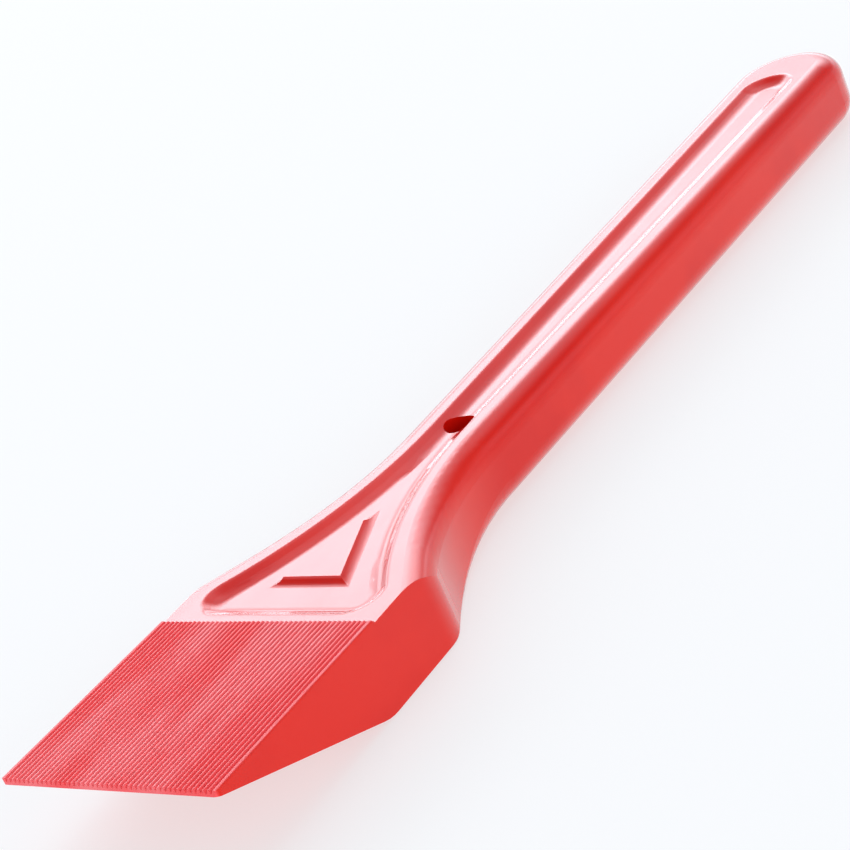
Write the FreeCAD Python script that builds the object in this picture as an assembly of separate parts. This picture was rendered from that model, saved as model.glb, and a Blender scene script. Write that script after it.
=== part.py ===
import FreeCAD, Part
import math
import os

# Hive tool: one plastic moulding, in millimetres.
# X runs from the blade's tip to the handle's end, Y across, Z up.
# It is built with X = 0 at the tip and Z = 0 at the underside, and then moved
# so that the origin is the centre of the underside.

# Overall
LENGTH = 253.5
THICKNESS = 14.2

# Wedge blade
BLADE_WIDTH = 45.0
BLADE_LENGTH = 41.5
BLADE_EDGE_RADIUS = 0.3
TIP_RISE = 0.7
TIP_THICKNESS = 1.0
TIP_LEAN = 0.25
TIP_CORNER_RADIUS = 1.0
HEEL_X = 36.4
HEEL_RADIUS = 9.0

# Grip ribs along the blade, the outer two reaching the blade's edges
RIB_COUNT = 45
RIB_PITCH = 0.993
RIB_HEIGHT = 0.6
RIB_CREST_WIDTH = 0.25
RIB_ROOT_GAP = 0.1
RIB_RUN_OUT = 0.8

# Neck and handle outline
SHOULDER_X = 57.0
SHOULDER_RADIUS = 10.0
SHOULDER_RUN = 4.0
NECK_ANGLE = 30.0
NECK_RADIUS = 70.0
HANDLE_X = 97.0
HANDLE_HALF_WIDTH = 10.7
END_HALF_WIDTH = 12.6

# Edge rounding of the neck and handle
TOP_NECK_EDGE_RADIUS = 4.0
TOP_HANDLE_EDGE_RADIUS = 4.6
BOTTOM_NECK_EDGE_RADIUS = 0.5
BOTTOM_HANDLE_EDGE_RADIUS = 4.5

# Pocket in the top: a rounded triangle that narrows into a groove
POCKET_DEPTH = 1.45
POCKET_WALL_SLOPE = 30.0
POCKET_BASE_RADIUS = 5.0
POCKET_RIM_RADIUS = 1.6
POCKET_X = 43.7
POCKET_CORNER_HALF_WIDTH = 23.2
POCKET_CORNER_RADIUS = 5.5
GROOVE_X = 73.8
GROOVE_HALF_WIDTH = 3.8
GROOVE_BEND_RADIUS = 84.0
GROOVE_END_X = 239.2
GROOVE_END_HALF_WIDTH = 6.0

# Island in the pocket: a low three-sided pyramid with its top cut flat
ISLAND_DROP = 0.4
ISLAND_FRONT_X = 54.7
ISLAND_HALF_WIDTH = 6.1
ISLAND_POINT_X = 70.6
ISLAND_SLOPE = 55.0
ISLAND_BASE_RADIUS = 1.8

# Hanging hole
HOLE_X = 101.9
HOLE_RADIUS = 2.9

# Height of the ribs' tops at the tip
RIB_TOP = THICKNESS + TIP_RISE + RIB_HEIGHT

# Closeness used to pick edges and to skip empty lines
TOLERANCE = 1e-4


def vec(x, y, z=0.0):
    return FreeCAD.Vector(x, y, z)


def rounded_wire(corners):
    """Closed flat wire through (x, y, corner radius) points."""
    starts = []
    ends = []
    edges = []
    for i, (x, y, radius) in enumerate(corners):
        here = vec(x, y)
        before = vec(*corners[i - 1][:2]) - here
        after = vec(*corners[(i + 1) % len(corners)][:2]) - here
        before.normalize()
        after.normalize()
        half_angle = before.getAngle(after) / 2
        inward = before + after
        inward.normalize()
        reach = radius / math.tan(half_angle)
        middle = here + inward * (radius / math.sin(half_angle) - radius)
        starts.append(here + before * reach)
        ends.append(here + after * reach)
        if radius > 0:
            edges.append(Part.Arc(starts[i], middle, ends[i]).toShape())
    for i, end in enumerate(ends):
        start = starts[(i + 1) % len(starts)]
        if (start - end).Length > TOLERANCE:
            edges.append(Part.makeLine(end, start))
    return Part.Wire(Part.__sortEdges__(edges))


def both_sides(half):
    """Whole outline from its +Y half."""
    other = [(x, -y, radius) for x, y, radius in reversed(half)]
    return half + other


def upright(corners, bottom, height):
    """Solid standing on a flat outline."""
    solid = Part.Face(rounded_wire(corners)).extrude(vec(0, 0, height))
    solid.translate(vec(0, 0, bottom))
    return solid


def crosswise(corners, width):
    """Solid with a side view given as (x, z, corner radius) points."""
    face = Part.Face(rounded_wire(corners))
    face.rotate(vec(0, 0), vec(1, 0), 90)
    face.translate(vec(0, -width / 2))
    return face.extrude(vec(0, width))


def neck_corner():
    """Point where the neck's slanting side would meet the handle's flaring side."""
    flare = (END_HALF_WIDTH - HANDLE_HALF_WIDTH) / (LENGTH - HANDLE_X)
    fall = math.tan(math.radians(NECK_ANGLE))
    drop = BLADE_WIDTH / 2 - HANDLE_HALF_WIDTH
    x = (drop + fall * SHOULDER_X + flare * HANDLE_X) / (fall + flare)
    y = HANDLE_HALF_WIDTH + flare * (x - HANDLE_X)
    return x, y


def full_round(half_width, run, widening):
    """Radius of the one arc that rounds off an end whose sides widen over their run."""
    return half_width * math.tan(math.pi / 4 - math.atan(widening / run) / 2)


def neck_arcs(body, level):
    """Edges of the neck's hollow curves at one height."""
    found = []
    for edge in body.Edges:
        box = edge.BoundBox
        is_level = abs(box.ZMin - level) < TOLERANCE and abs(box.ZMax - level) < TOLERANCE
        radius = getattr(edge.Curve, "Radius", 0)
        if is_level and abs(radius - NECK_RADIUS) < TOLERANCE:
            found.append(edge)
    return found


def rounded_handle():
    """Neck and handle with rounded edges, the neck's slanting sides run on past the shoulders."""
    x, y = neck_corner()
    run_on = math.tan(math.radians(NECK_ANGLE)) * (SHOULDER_X - BLADE_LENGTH)
    end_radius = full_round(END_HALF_WIDTH, LENGTH - x, END_HALF_WIDTH - y)
    outline = [
        (BLADE_LENGTH, 0, 0),
        (BLADE_LENGTH, BLADE_WIDTH / 2 + run_on, 0),
        (x, y, NECK_RADIUS),
        (LENGTH, END_HALF_WIDTH, end_radius),
        (LENGTH, 0, 0),
    ]
    half = upright(outline, 0, THICKNESS)
    half = half.makeFillet(TOP_NECK_EDGE_RADIUS, TOP_HANDLE_EDGE_RADIUS, neck_arcs(half, THICKNESS))
    half = half.makeFillet(BOTTOM_NECK_EDGE_RADIUS, BOTTOM_HANDLE_EDGE_RADIUS, neck_arcs(half, 0))
    return half.fuse(half.mirror(vec(0, 0), vec(0, 1)))


def shoulder_trim():
    """Slab that trims the neck to the blade's width and rounds its shoulders."""
    slope = math.radians(NECK_ANGLE)
    past_x = SHOULDER_X + SHOULDER_RUN * math.cos(slope)
    past_y = BLADE_WIDTH / 2 - SHOULDER_RUN * math.sin(slope)
    half = [
        (BLADE_LENGTH, BLADE_WIDTH / 2, 0),
        (SHOULDER_X, BLADE_WIDTH / 2, SHOULDER_RADIUS),
        (past_x, past_y, 0),
        (LENGTH + BLADE_WIDTH, BLADE_WIDTH, 0),
    ]
    return upright(both_sides(half), 0, THICKNESS)


def ribbed_block():
    """Block of the blade's width with ribs along its top, which falls slightly to the handle."""
    reach = RIB_PITCH * (RIB_COUNT - 1) / 2
    groove_mouth = RIB_PITCH - RIB_CREST_WIDTH
    edge = BLADE_WIDTH / 2
    section = [(-edge, 0, 0), (-edge, RIB_TOP, BLADE_EDGE_RADIUS)]
    for i in range(RIB_COUNT - 1):
        centre = (i + 0.5) * RIB_PITCH - reach
        section.append((centre - groove_mouth / 2, RIB_TOP, 0))
        section.append((centre - RIB_ROOT_GAP / 2, RIB_TOP - RIB_HEIGHT, 0))
        section.append((centre + RIB_ROOT_GAP / 2, RIB_TOP - RIB_HEIGHT, 0))
        section.append((centre + groove_mouth / 2, RIB_TOP, 0))
    section += [(edge, RIB_TOP, BLADE_EDGE_RADIUS), (edge, 0, 0)]
    face = Part.Face(rounded_wire(section))
    face.rotate(vec(0, 0), vec(1, 1, 1), 120)
    block = face.extrude(vec(BLADE_LENGTH, 0, -TIP_RISE))
    return block


def blade():
    """Ribbed wedge from the thin tip to the full thickness, with a rounded heel underneath."""
    side = [
        (0, RIB_TOP - TIP_THICKNESS, 0),
        (HEEL_X, 0, HEEL_RADIUS),
        (BLADE_LENGTH, 0, 0),
        (BLADE_LENGTH, THICKNESS, 0),
        (BLADE_LENGTH - RIB_RUN_OUT, RIB_TOP, 0),
        (TIP_LEAN, RIB_TOP, 0),
    ]
    half = [(0, BLADE_WIDTH / 2, TIP_CORNER_RADIUS), (BLADE_LENGTH, BLADE_WIDTH / 2, 0)]
    plan = upright(both_sides(half), 0, RIB_TOP)
    return ribbed_block().common(crosswise(side, BLADE_WIDTH)).common(plan)


def pocket():
    """Hollow of the pocket and its groove, with sloping walls that curve into the floor."""
    end_radius = full_round(
        GROOVE_END_HALF_WIDTH, GROOVE_END_X - GROOVE_X, GROOVE_END_HALF_WIDTH - GROOVE_HALF_WIDTH
    )
    half = [
        (POCKET_X, POCKET_CORNER_HALF_WIDTH, POCKET_CORNER_RADIUS),
        (GROOVE_X, GROOVE_HALF_WIDTH, GROOVE_BEND_RADIUS),
        (GROOVE_END_X, GROOVE_END_HALF_WIDTH, end_radius),
    ]
    rim = rounded_wire(both_sides(half))
    sections = []
    for height in (-POCKET_DEPTH, POCKET_DEPTH):
        section = rim.makeOffset2D(height / math.tan(math.radians(POCKET_WALL_SLOPE)))
        section.translate(vec(0, 0, THICKNESS + height))
        sections.append(section)
    hollow = Part.makeLoft(sections, True, True)
    floor = THICKNESS - POCKET_DEPTH
    base = [edge for edge in hollow.Edges if edge.BoundBox.ZMax < floor + TOLERANCE]
    return hollow.makeFillet(POCKET_BASE_RADIUS, base).Solids[0], rim


def island():
    """Low three-sided pyramid with a flat top, and the outline of its foot."""
    height = POCKET_DEPTH - ISLAND_DROP
    spread = height / math.tan(math.radians(ISLAND_SLOPE))
    corners = [
        vec(ISLAND_FRONT_X, ISLAND_HALF_WIDTH),
        vec(ISLAND_POINT_X, 0),
        vec(ISLAND_FRONT_X, -ISLAND_HALF_WIDTH),
    ]
    top = Part.makePolygon(corners + corners[:1])
    foot = top.makeOffset2D(spread, 2)
    top.translate(vec(0, 0, THICKNESS - ISLAND_DROP))
    foot.translate(vec(0, 0, THICKNESS - POCKET_DEPTH))
    return Part.makeLoft([foot, top], True, True), foot


def hanging_hole():
    return Part.makeCylinder(HOLE_RADIUS, THICKNESS, vec(HOLE_X, 0))


def on_outline(edges, outline):
    """Those edges that lie along an outline."""
    found = []
    for edge in edges:
        middle = edge.valueAt((edge.FirstParameter + edge.LastParameter) / 2)
        if outline.distToShape(Part.Vertex(middle))[0] < TOLERANCE:
            found.append(edge)
    return found


def tool_body():
    grip = rounded_handle().common(shoulder_trim())
    solid = blade().fuse(grip).removeSplitter()
    hollow, rim = pocket()
    rim.translate(vec(0, 0, THICKNESS))
    solid = solid.cut(hollow)
    solid = solid.makeFillet(POCKET_RIM_RADIUS, on_outline(solid.Edges, rim))
    pyramid, foot = island()
    solid = solid.fuse(pyramid)
    solid = solid.makeFillet(ISLAND_BASE_RADIUS, on_outline(solid.Edges, foot))
    solid = solid.cut(hanging_hole())
    solid.translate(vec(-LENGTH / 2, 0))
    return solid


def main():
    os.makedirs("parts", exist_ok=True)
    tool_body().exportStep("parts/tool_body.step")


main()
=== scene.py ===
import math

import bpy
from mathutils import Euler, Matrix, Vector


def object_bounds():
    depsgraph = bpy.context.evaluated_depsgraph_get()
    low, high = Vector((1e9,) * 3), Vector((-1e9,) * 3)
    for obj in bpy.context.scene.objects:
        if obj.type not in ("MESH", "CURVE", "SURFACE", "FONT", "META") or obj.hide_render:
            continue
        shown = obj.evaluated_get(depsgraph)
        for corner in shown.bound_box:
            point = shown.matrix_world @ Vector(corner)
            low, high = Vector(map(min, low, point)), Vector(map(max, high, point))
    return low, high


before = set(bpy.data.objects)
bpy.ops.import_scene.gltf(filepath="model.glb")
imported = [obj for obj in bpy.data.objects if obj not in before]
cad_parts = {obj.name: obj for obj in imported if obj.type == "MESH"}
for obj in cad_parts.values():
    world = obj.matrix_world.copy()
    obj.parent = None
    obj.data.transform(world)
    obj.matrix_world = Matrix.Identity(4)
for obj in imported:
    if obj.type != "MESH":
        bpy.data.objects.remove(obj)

MM = 0.001

cad_low, cad_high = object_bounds()
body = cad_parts["tool_body"]


# ---------------------------------------------------------------- small helpers
def new_material(name):
    material = bpy.data.materials.new(name)
    material.use_nodes = True
    tree = material.node_tree
    return material, tree, tree.nodes["Principled BSDF"]


def connect(tree, value, socket):
    """Feeds a socket from another node's output, or sets it to a value."""
    if isinstance(value, bpy.types.NodeSocket):
        tree.links.new(value, socket)
    else:
        socket.default_value = value


def calculate(tree, operation, *values):
    node = tree.nodes.new("ShaderNodeMath")
    node.operation = operation
    for value, socket in zip(values, node.inputs):
        connect(tree, value, socket)
    return node.outputs[0]


def fade(tree, value, start, end, low, high):
    """Goes smoothly from low to high as a value goes from start to end."""
    node = tree.nodes.new("ShaderNodeMapRange")
    node.interpolation_type = "SMOOTHSTEP"
    names = ("From Min", "From Max", "To Min", "To Max")
    for name, number in zip(names, (start, end, low, high)):
        node.inputs[name].default_value = number
    tree.links.new(value, node.inputs["Value"])
    return node.outputs["Result"]


def mix_colours(tree, factor, first, second):
    node = tree.nodes.new("ShaderNodeMix")
    node.data_type = "RGBA"
    connect(tree, factor, node.inputs["Factor"])
    for value, name in ((first, "A"), (second, "B")):
        socket = next(s for s in node.inputs if s.name == name and s.type == "RGBA")
        connect(tree, value, socket)
    return next(s for s in node.outputs if s.type == "RGBA")


def noise(tree, place, scale, detail, stretch=(1, 1, 1)):
    """Noise with about so many features a metre, drawn out along an axis whose stretch is small."""
    squeeze = tree.nodes.new("ShaderNodeMapping")
    squeeze.inputs["Scale"].default_value = stretch
    tree.links.new(place, squeeze.inputs["Vector"])
    node = tree.nodes.new("ShaderNodeTexNoise")
    node.inputs["Scale"].default_value = scale
    node.inputs["Detail"].default_value = detail
    tree.links.new(squeeze.outputs[0], node.inputs["Vector"])
    return node.outputs["Fac"]


def bump(tree, height, depth, before=None):
    """Dents as deep as depth, laid over an earlier bump."""
    node = tree.nodes.new("ShaderNodeBump")
    node.inputs["Strength"].default_value = 1
    node.inputs["Distance"].default_value = depth
    tree.links.new(height, node.inputs["Height"])
    if before is not None:
        tree.links.new(before, node.inputs["Normal"])
    return node.outputs["Normal"]


# ---------------------------------------------------------------- red plastic
# The ribs run from the blade's tip to the flat top of the neck, in the top of the block.
RIBS_END = cad_low.x + 41.1 * MM
RIBS_FOOT = cad_high.z - 1.6 * MM
RIBS_SIDE = cad_high.y - 0.35 * MM
RIBS_BLEND = 0.3 * MM

DEEP_RED = (0.66, 0.008, 0.003, 1)
BRIGHT_RED = (0.73, 0.013, 0.004, 1)
# painted sheen: paler reds on the ribs stand in for their crest highlights and lighten the shade in
# the troughs between them
PAINTED_RIB_SHEEN_RED = (0.90, 0.090, 0.095, 1)
PALE_PAINTED_RIB_SHEEN_RED = (0.92, 0.180, 0.190, 1)

GLOSSY_ROUGHNESS = (0.13, 0.19)
RUBBED_ROUGHNESS = (0.48, 0.38)
COAT_ROUGHNESS = 0.16
FULL_COAT = 1
RUBBED_COAT = 0.1
PLASTIC_IOR = 1.42
COAT_IOR = 1.25
RED_REFLECTION = (1, 0.25, 0.25, 1)

# Each pattern's features a metre, how much it is drawn out along the tool, and the stretch of
# the noise's values over which it comes in
CLOUD_SCALE = 45
CLOUD_EDGE = (0.35, 0.65)
STREAK_SCALE = 75
STREAK_STRETCH = (0.3, 1, 1)
STREAK_EDGE = (0.42, 0.66)
SMEAR_SCALE = 260
SMEAR_STRETCH = (0.35, 1, 1)
SMEAR_EDGE = (0.3, 0.7)
SINK_SCALE = 70
SINK_DEPTH = 0.06 * MM
SCRATCH_SCALE = 900
SCRATCH_STRETCH = (0.08, 1, 1)
SCRATCH_DEPTH = 0.0015 * MM


def rib_mask(tree, place):
    """One on the ribs and nothing elsewhere, the blade's sides included."""
    split = tree.nodes.new("ShaderNodeSeparateXYZ")
    tree.links.new(place, split.inputs[0])
    before_neck = fade(tree, split.outputs["X"], RIBS_END, RIBS_END + RIBS_BLEND, 1, 0)
    above_side = fade(tree, split.outputs["Z"], RIBS_FOOT, RIBS_FOOT + RIBS_BLEND, 0, 1)
    across = calculate(tree, "ABSOLUTE", split.outputs["Y"])
    within_sides = fade(tree, across, RIBS_SIDE, RIBS_SIDE + RIBS_BLEND, 1, 0)
    on_top = calculate(tree, "MULTIPLY", above_side, within_sides)
    return calculate(tree, "MULTIPLY", before_neck, on_top)


def gloss_plastic():
    """Glossy moulded plastic: slightly uneven colour and surface, duller on the ribs, which are
    painted paler as a painted sheen.
    """
    material, tree, shader = new_material("red_plastic_gloss")
    place = tree.nodes.new("ShaderNodeTexCoord").outputs["Object"]
    on_ribs = rib_mask(tree, place)

    # colour: two close reds in soft clouds, and on the ribs two paler reds in streaks, a painted
    # sheen that stands in for the crest highlights and lightens the shade between the ribs
    clouds = fade(tree, noise(tree, place, CLOUD_SCALE, detail=3), *CLOUD_EDGE, 0, 1)
    streaks = noise(tree, place, STREAK_SCALE, detail=3, stretch=STREAK_STRETCH)
    streaks = fade(tree, streaks, *STREAK_EDGE, 0, 1)
    painted_rib_sheen = mix_colours(tree, streaks, PAINTED_RIB_SHEEN_RED, PALE_PAINTED_RIB_SHEEN_RED)
    reds = mix_colours(tree, clouds, DEEP_RED, BRIGHT_RED)
    tree.links.new(mix_colours(tree, on_ribs, reds, painted_rib_sheen), shader.inputs["Base Color"])

    # gloss: fine smears everywhere, and duller ribs with shinier streaks
    smears = noise(tree, place, SMEAR_SCALE, detail=4, stretch=SMEAR_STRETCH)
    smooth = fade(tree, smears, *SMEAR_EDGE, *GLOSSY_ROUGHNESS)
    dull = fade(tree, streaks, 0, 1, *RUBBED_ROUGHNESS)
    change = calculate(tree, "SUBTRACT", dull, smooth)
    rough = calculate(tree, "MULTIPLY_ADD", on_ribs, change, smooth)
    tree.links.new(rough, shader.inputs["Roughness"])
    shader.inputs["IOR"].default_value = PLASTIC_IOR
    shader.inputs["Specular Tint"].default_value = RED_REFLECTION

    # surface: slight sinking of the moulding, and fine scratches along the tool
    sinks = bump(tree, noise(tree, place, SINK_SCALE, detail=2), SINK_DEPTH)
    scratches = noise(tree, place, SCRATCH_SCALE, detail=5, stretch=SCRATCH_STRETCH)
    surface = bump(tree, scratches, SCRATCH_DEPTH, sinks)
    tree.links.new(surface, shader.inputs["Normal"])

    # the moulding's shiny skin, nearly worn off the ribs
    skin = fade(tree, on_ribs, 0, 1, FULL_COAT, RUBBED_COAT)
    tree.links.new(skin, shader.inputs["Coat Weight"])
    shader.inputs["Coat IOR"].default_value = COAT_IOR
    shader.inputs["Coat Roughness"].default_value = COAT_ROUGHNESS
    tree.links.new(surface, shader.inputs["Coat Normal"])
    return material


body.data.materials.clear()
body.data.materials.append(gloss_plastic())

# ---------------------------------------------------------------- floor
FLOOR_SIZE = 6
FLOOR_GAP = 0.2 * MM
FLOOR_GREY = (0.35, 0.35, 0.35, 1)
FLOOR_ROUGHNESS = 0.9
FLOOR_GLOSS = 0.1
FLOOR_GLOW_COLOUR = (1, 1, 1, 1)
FLOOR_GLOW = 0.6


def lit_paper():
    """Matt paper lit from below, as on a light table."""
    material, _, shader = new_material("floor_paper")
    shader.inputs["Base Color"].default_value = FLOOR_GREY
    shader.inputs["Roughness"].default_value = FLOOR_ROUGHNESS
    shader.inputs["Specular IOR Level"].default_value = FLOOR_GLOSS
    shader.inputs["Emission Color"].default_value = FLOOR_GLOW_COLOUR
    shader.inputs["Emission Strength"].default_value = FLOOR_GLOW
    return material


bpy.ops.mesh.primitive_plane_add(size=FLOOR_SIZE, location=(0, 0, cad_low.z - FLOOR_GAP))
floor = bpy.context.object
floor.name = "floor"
floor.data.materials.append(lit_paper())

# ---------------------------------------------------------------- camera
CAMERA_PLACE = Vector((-304.4, -251.4, 173.5)) * MM
CAMERA_AIM = Vector((-14.2, 17.5, 7.0)) * MM
CAMERA_ROLL = -23.86
SENSOR_WIDTH = 36
FOCAL_LENGTH = 99.3
NEAREST_VIEW = 0.01
FARTHEST_VIEW = 20

lens = bpy.data.cameras.new("camera")
lens.sensor_width = SENSOR_WIDTH
lens.lens = FOCAL_LENGTH
lens.clip_start = NEAREST_VIEW
lens.clip_end = FARTHEST_VIEW
camera = bpy.data.objects.new("camera", lens)
camera.location = CAMERA_PLACE
aim = (CAMERA_AIM - CAMERA_PLACE).to_track_quat("-Z", "Y")
roll = Euler((0, 0, math.radians(CAMERA_ROLL))).to_quaternion()
camera.rotation_euler = (aim @ roll).to_euler()
bpy.context.scene.collection.objects.link(camera)
bpy.context.scene.camera = camera

# ---------------------------------------------------------------- studio light
# A pale room, dimmer above the horizon, with soft light boxes round the table.
# A height is the sine of the elevation.
LIGHT_COLOUR = (0.91, 0.97, 1.05, 1)
HORIZON_LIGHT = 0.9
UPPER_LIGHT = 0.36
HORIZON_TOP = 0.16
UPPER_START = 0.34


def soft_box(tree, bearing, half_width, height, half_height, strength):
    """Light that is strongest at a bearing and a height, and fades to nothing round it.

    The bearing is in degrees from straight behind the tool, as the camera looks at it, and
    grows to the camera's left.
    """
    view = CAMERA_AIM - CAMERA_PLACE
    turn = tree.nodes.new("ShaderNodeVectorRotate")
    turn.rotation_type = "Z_AXIS"
    turn.inputs["Angle"].default_value = -math.atan2(view.y, view.x) - math.radians(bearing)
    split = tree.nodes.new("ShaderNodeSeparateXYZ")
    direction = tree.nodes.new("ShaderNodeTexCoord").outputs["Generated"]
    tree.links.new(direction, turn.inputs["Vector"])
    tree.links.new(turn.outputs[0], split.inputs[0])

    sideways = calculate(tree, "ARCTAN2", split.outputs["Y"], split.outputs["X"])
    sideways = calculate(tree, "ABSOLUTE", sideways)
    upwards = calculate(tree, "SUBTRACT", split.outputs["Z"], height)
    upwards = calculate(tree, "ABSOLUTE", upwards)
    along = fade(tree, sideways, 0, math.radians(half_width), 1, 0)
    return calculate(tree, "MULTIPLY", along, fade(tree, upwards, 0, half_height, strength, 0))


def room_light(tree):
    split = tree.nodes.new("ShaderNodeSeparateXYZ")
    direction = tree.nodes.new("ShaderNodeTexCoord").outputs["Generated"]
    tree.links.new(direction, split.inputs[0])
    return fade(tree, split.outputs["Z"], HORIZON_TOP, UPPER_START, HORIZON_LIGHT, UPPER_LIGHT)


def studio_world():
    world = bpy.data.worlds.new("studio")
    world.use_nodes = True
    tree = world.node_tree
    main = soft_box(tree, bearing=0, half_width=62, height=0.46, half_height=0.27, strength=5.5)
    low_back = soft_box(tree, bearing=0, half_width=65, height=0.15, half_height=0.13, strength=2.4)
    front = soft_box(tree, bearing=180, half_width=72, height=0.05, half_height=0.5, strength=2.7)
    right = soft_box(tree, bearing=-120, half_width=60, height=0.36, half_height=0.25, strength=2.3)
    left = soft_box(tree, bearing=90, half_width=95, height=0.36, half_height=0.25, strength=1.8)
    top = soft_box(tree, bearing=-35, half_width=85, height=0.85, half_height=0.28, strength=2.0)
    total = room_light(tree)
    for box in (main, low_back, front, right, left, top):
        total = calculate(tree, "ADD", total, box)
    background = tree.nodes["Background"]
    background.inputs["Color"].default_value = LIGHT_COLOUR
    tree.links.new(total, background.inputs["Strength"])
    bpy.context.scene.world = world


studio_world()
bpy.context.scene.view_settings.view_transform = "Standard"
